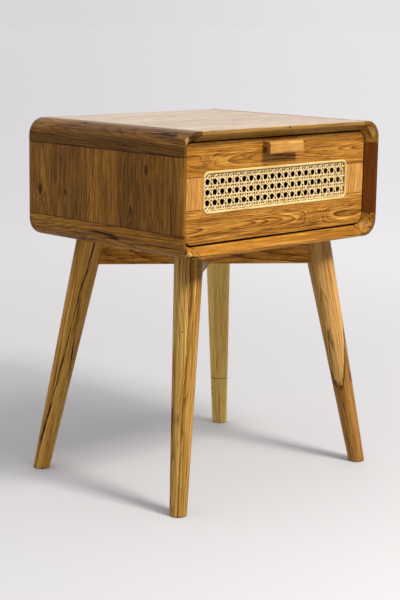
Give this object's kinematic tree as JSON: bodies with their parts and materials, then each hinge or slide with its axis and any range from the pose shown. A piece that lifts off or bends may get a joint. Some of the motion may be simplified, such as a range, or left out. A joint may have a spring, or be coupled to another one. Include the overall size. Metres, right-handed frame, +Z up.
{
  "type": "side table with drawer",
  "caption": "Small wooden side table: a rounded box case with a recessed drawer, woven cane window and hooked wooden pull, on splayed tapered legs tied by crossed rails.",
  "frame": {"origin": "on the floor under the middle of the case", "axes": "+Z up, -Y the drawer's front, +X to the right of someone who faces the front"},
  "size_m": [0.4546, 0.36, 0.585],
  "materials": {
    "corner_teak": "oiled satin",
    "top_teak": "oiled satin",
    "side_teak": "oiled satin",
    "front_teak": "oiled satin",
    "pull_teak": "oiled satin",
    "leg_teak": "oiled satin",
    "rail_teak": "oiled satin",
    "inner_wood": "bare, sanded",
    "dowel_wood": "bare",
    "cane": "natural split cane",
    "screw_steel": "zinc plated"
  },
  "bodies": {
    "case": {"back_panel": "inner_wood", "back_pins": "screw_steel", "bottom_board_1": "top_teak", "bottom_board_2": "top_teak", "bottom_board_3": "top_teak", "bottom_board_4": "top_teak", "case_dowels": "dowel_wood", "corner_block_bottom_left": "corner_teak", "corner_block_bottom_right": "corner_teak", "corner_block_top_left": "corner_teak", "corner_block_top_right": "corner_teak", "cross_rail_a": "rail_teak", "cross_rail_b": "rail_teak", "drawer_stops": "inner_wood", "left_board_1": "side_teak", "left_board_2": "side_teak", "left_board_3": "side_teak", "left_board_4": "side_teak", "left_board_5": "side_teak", "left_board_6": "side_teak", "left_board_7": "side_teak", "left_board_8": "side_teak", "left_runner": "inner_wood", "leg_back_left": "leg_teak", "leg_back_right": "leg_teak", "leg_dowels": "dowel_wood", "leg_front_left": "leg_teak", "leg_front_right": "leg_teak", "rail_screws": "screw_steel", "right_board_1": "side_teak", "right_board_2": "side_teak", "right_board_3": "side_teak", "right_board_4": "side_teak", "right_board_5": "side_teak", "right_board_6": "side_teak", "right_board_7": "side_teak", "right_board_8": "side_teak", "right_runner": "inner_wood", "runner_screws": "screw_steel", "top_board_1": "top_teak", "top_board_2": "top_teak", "top_board_3": "top_teak", "top_board_4": "top_teak"},
    "drawer": {"cane_bead": "cane", "cane_panel": "cane", "drawer_back": "inner_wood", "drawer_bottom": "inner_wood", "drawer_dowels": "dowel_wood", "drawer_left_side": "inner_wood", "drawer_right_side": "inner_wood", "frame_dowels": "dowel_wood", "front_bottom_rail": "front_teak", "front_left_stile": "front_teak", "front_right_stile": "front_teak", "front_top_rail": "front_teak", "pull_handle": "pull_teak", "pull_screws": "screw_steel"}
  },
  "joints": [
    {"name": "drawer_slide", "type": "slide", "parent": "case", "child": "drawer", "axis": [0, -1, 0], "range_m": [0, 0.22]}
  ]
}
